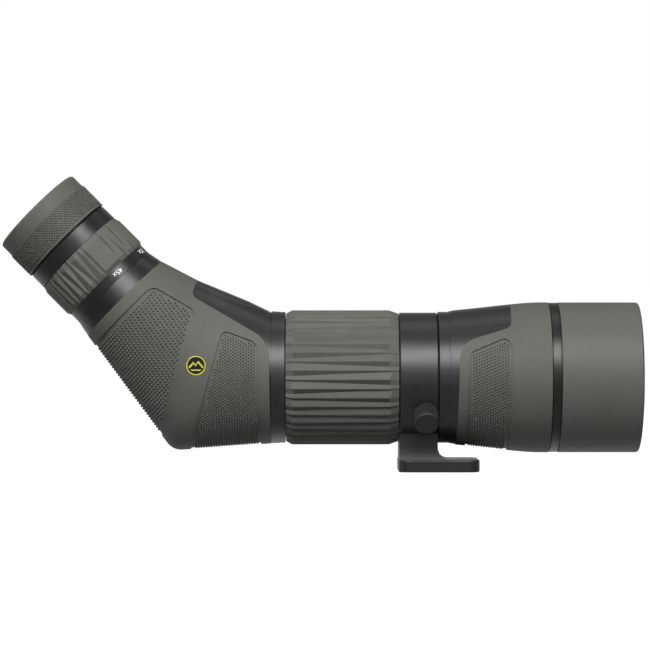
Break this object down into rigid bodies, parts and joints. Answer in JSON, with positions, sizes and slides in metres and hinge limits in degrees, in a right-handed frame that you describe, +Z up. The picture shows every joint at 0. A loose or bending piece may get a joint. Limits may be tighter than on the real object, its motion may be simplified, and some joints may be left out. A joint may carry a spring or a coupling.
{
  "type": "spotting scope",
  "caption": "Angled spotting scope with rubber armour, rotating tripod collar, focus ring, zoom eyepiece, twist-up eyecup and sliding sunshade.",
  "frame": {"origin": "centre of the tripod thread in the foot's underside", "axes": "+X along the optical axis towards the objective, +Z up from the foot through the tripod collar, lock knob on the -Y side"},
  "size_m": [0.3396, 0.0833, 0.1575],
  "materials": {
    "satin_black_metal": "cast light alloy with a satin black hard coat",
    "black_anodised": "matt black anodised",
    "bare_aluminium": "machined, bare",
    "olive_rubber": "matt olive-grey moulded rubber armour",
    "olive_coat": "matt olive-grey rubberised coat",
    "seal_rubber": "black nitrile",
    "black_plastic": "matt black glass-filled nylon",
    "nylon": "natural nylon",
    "steel": "stainless steel",
    "brass": "machined brass",
    "coated_glass": "polished, multicoated",
    "prism_glass": "polished crown glass",
    "badge_enamel": "black enamel with a yellow rim and hill outline"
  },
  "bodies": {
    "tripod_collar": {"collar_foot": "satin_black_metal", "collar_liner": "nylon", "thread_insert": "steel"},
    "brake_pad": {"brake_pad": "nylon"},
    "lock_knob": {"lock_screw": "steel", "lock_knob": "satin_black_metal", "knob_cap": "black_plastic"},
    "scope_body": {"body_tube": "black_anodised", "focus_seals": "seal_rubber", "tube_baffle": "black_anodised", "front_housing": "satin_black_metal", "front_armour": "olive_rubber", "name_ring": "black_anodised", "sunshade_stop": "black_anodised", "objective_cell": "black_anodised", "objective_seal": "seal_rubber", "objective_lens_rear": "coated_glass", "objective_spacer": "black_anodised", "objective_lens_front": "coated_glass", "objective_retainer": "black_anodised", "prism_housing": "satin_black_metal", "rear_armour": "olive_rubber", "badge": "badge_enamel", "roof_prism": "prism_glass", "prism_cage": "bare_aluminium", "prism_side_plate": "bare_aluminium", "prism_screws": "steel", "eyepiece_base": "satin_black_metal", "zoom_barrel": "black_anodised", "field_stop": "black_anodised", "eyepiece_top": "black_plastic", "eyecup_guide": "black_plastic", "eye_lens_cell": "black_anodised", "eye_lens_inner": "coated_glass", "eye_lens_spacer": "black_anodised", "eye_lens_outer": "coated_glass", "eye_lens_retainer": "black_anodised"},
    "sunshade": {"sunshade": "olive_coat", "sunshade_glide": "nylon"},
    "focus_ring": {"focus_ring": "black_anodised", "focus_grip": "olive_rubber"},
    "focus_carriage": {"focus_carriage": "black_anodised", "focus_drive_pins": "brass", "focus_lens_rear": "coated_glass", "focus_lens_front": "coated_glass", "focus_lens_retainer": "black_anodised"},
    "zoom_ring": {"zoom_ring": "black_plastic", "zoom_grip": "olive_rubber"},
    "zoom_front_group": {"zoom_front_cell": "black_anodised", "zoom_front_pins": "brass", "zoom_front_lens": "coated_glass"},
    "zoom_rear_group": {"zoom_rear_cell": "black_anodised", "zoom_rear_pins": "brass", "zoom_rear_lens": "coated_glass"},
    "eyecup_glide": {"eyecup_glide_ring": "nylon"},
    "eyecup": {"eyecup_sleeve": "black_plastic", "eyecup_pins": "brass", "eyecup_rubber": "olive_rubber"}
  },
  "joints": [
    {"name": "collar_rotation", "type": "hinge", "parent": "tripod_collar", "child": "scope_body", "pos_m": [-0.011, 0, 0.05], "axis": [1, 0, 0], "continuous": true},
    {"name": "brake_pad_slide", "type": "slide", "parent": "tripod_collar", "child": "brake_pad", "axis": [0, -0.8616, -0.5075], "range_m": [-0.0002, 0.0008]},
    {"name": "lock_knob_turn", "type": "hinge", "parent": "brake_pad", "child": "lock_knob", "pos_m": [-0.0074, 0, 0.05], "axis": [0, -0.8616, -0.5075], "range_deg": [-90.1, 360.1]},
    {"name": "sunshade_slide", "type": "slide", "parent": "scope_body", "child": "sunshade", "axis": [1, 0, 0], "range_m": [0, 0.028]},
    {"name": "focus_ring_turn", "type": "hinge", "parent": "scope_body", "child": "focus_ring", "pos_m": [-0.0514, 0, 0.05], "axis": [1, 0, 0], "range_deg": [-180, 180]},
    {"name": "focus_carriage_travel", "type": "slide", "parent": "scope_body", "child": "focus_carriage", "axis": [1, 0, 0], "range_m": [-0.0121, 0.0121]},
    {"name": "zoom_ring_turn", "type": "hinge", "parent": "scope_body", "child": "zoom_ring", "pos_m": [-0.1254, 0, 0.05], "axis": [-0.7071, 0, 0.7071], "range_deg": [-55, 75]},
    {"name": "zoom_front_travel", "type": "slide", "parent": "scope_body", "child": "zoom_front_group", "axis": [-0.7071, 0, 0.7071], "range_m": [-0.0045, 0.0061]},
    {"name": "zoom_rear_travel", "type": "slide", "parent": "scope_body", "child": "zoom_rear_group", "axis": [-0.7071, 0, 0.7071], "range_m": [-0.0023, 0.0017]},
    {"name": "eyecup_lift", "type": "slide", "parent": "scope_body", "child": "eyecup_glide", "axis": [-0.7071, 0, 0.7071], "range_m": [0, 0.0101]},
    {"name": "eyecup_twist", "type": "hinge", "parent": "eyecup_glide", "child": "eyecup", "pos_m": [-0.1254, 0, 0.05], "axis": [-0.7071, 0, 0.7071], "range_deg": [0, 100]}
  ],
  "couplings": [
    {"joint": "lock_knob_turn", "follows": "brake_pad_slide", "rad_per_m": 7854},
    {"joint": "focus_carriage_travel", "follows": "focus_ring_turn", "m_per_rad": 0.0038197},
    {"joint": "zoom_front_travel", "follows": "zoom_ring_turn", "m_per_rad": 0.0045837},
    {"joint": "zoom_rear_travel", "follows": "zoom_ring_turn", "m_per_rad": -0.0017189},
    {"joint": "eyecup_lift", "follows": "eyecup_twist", "m_per_rad": 0.0057296}
  ]
}
